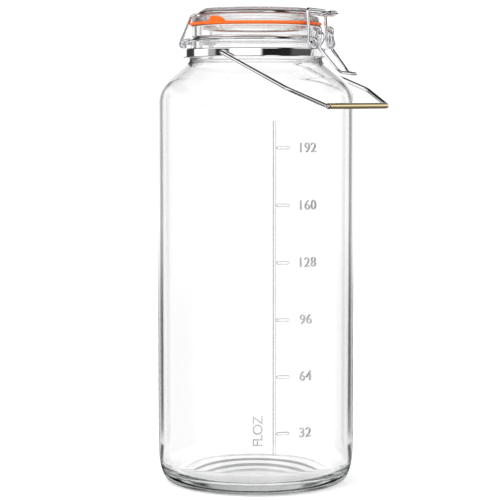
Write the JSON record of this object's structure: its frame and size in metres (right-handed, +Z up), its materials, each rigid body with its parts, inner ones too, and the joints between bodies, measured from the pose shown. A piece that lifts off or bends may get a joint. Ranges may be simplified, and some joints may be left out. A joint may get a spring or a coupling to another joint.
{
  "type": "clamp-top glass storage jar",
  "caption": "Tall round glass jar with a hinged glass lid, flat sealing ring, wire clamp, steel neck band, swinging wire handle with a grip sleeve, and a moulded fill scale.",
  "frame": {"origin": "centre of the jar's flat foot, on the surface it stands on", "axes": "+Z up along the jar's axis, -Y towards the latch and the hanging handle, +Y towards the lid's hinge"},
  "size_m": [0.1722, 0.1813, 0.4054],
  "materials": {
    "clear_glass": "clear, polished",
    "orange_silicone": "smooth matte silicone",
    "chromed_wire": "bright drawn wire",
    "polished_steel": "mirror polished",
    "gold_sleeve": "pale gold, satin"
  },
  "bodies": {
    "jar": {"jar": "clear_glass", "band": "polished_steel", "neck_wire": "chromed_wire"},
    "lid": {"lid": "clear_glass", "gasket": "orange_silicone", "lid_wire": "chromed_wire"},
    "lever": {"latch_lever": "chromed_wire"},
    "bail": {"latch_bail": "chromed_wire"},
    "handle": {"handle_wire": "chromed_wire", "handle_grip": "gold_sleeve"}
  },
  "joints": [
    {"name": "handle_swing", "type": "hinge", "parent": "jar", "child": "handle", "pos_m": [0, 0, 0.3674], "axis": [-1, 0, 0], "range_deg": [-8, 238]},
    {"name": "lid_hinge", "type": "hinge", "parent": "jar", "child": "lid", "pos_m": [0, 0.06, 0.3764], "axis": [-1, 0, 0], "range_deg": [0, 105]},
    {"name": "lever_swing", "type": "hinge", "parent": "jar", "child": "lever", "pos_m": [0, -0.0629, 0.3856], "axis": [-1, 0, 0], "range_deg": [0, 90]},
    {"name": "bail_swing", "type": "hinge", "parent": "lever", "child": "bail", "pos_m": [0, -0.0613, 0.3757], "axis": [-1, 0, 0], "range_deg": [-128, 0]}
  ],
  "couplings": [
    {"joint": "bail_swing", "follows": "lever_swing", "ratio": -1.4}
  ]
}
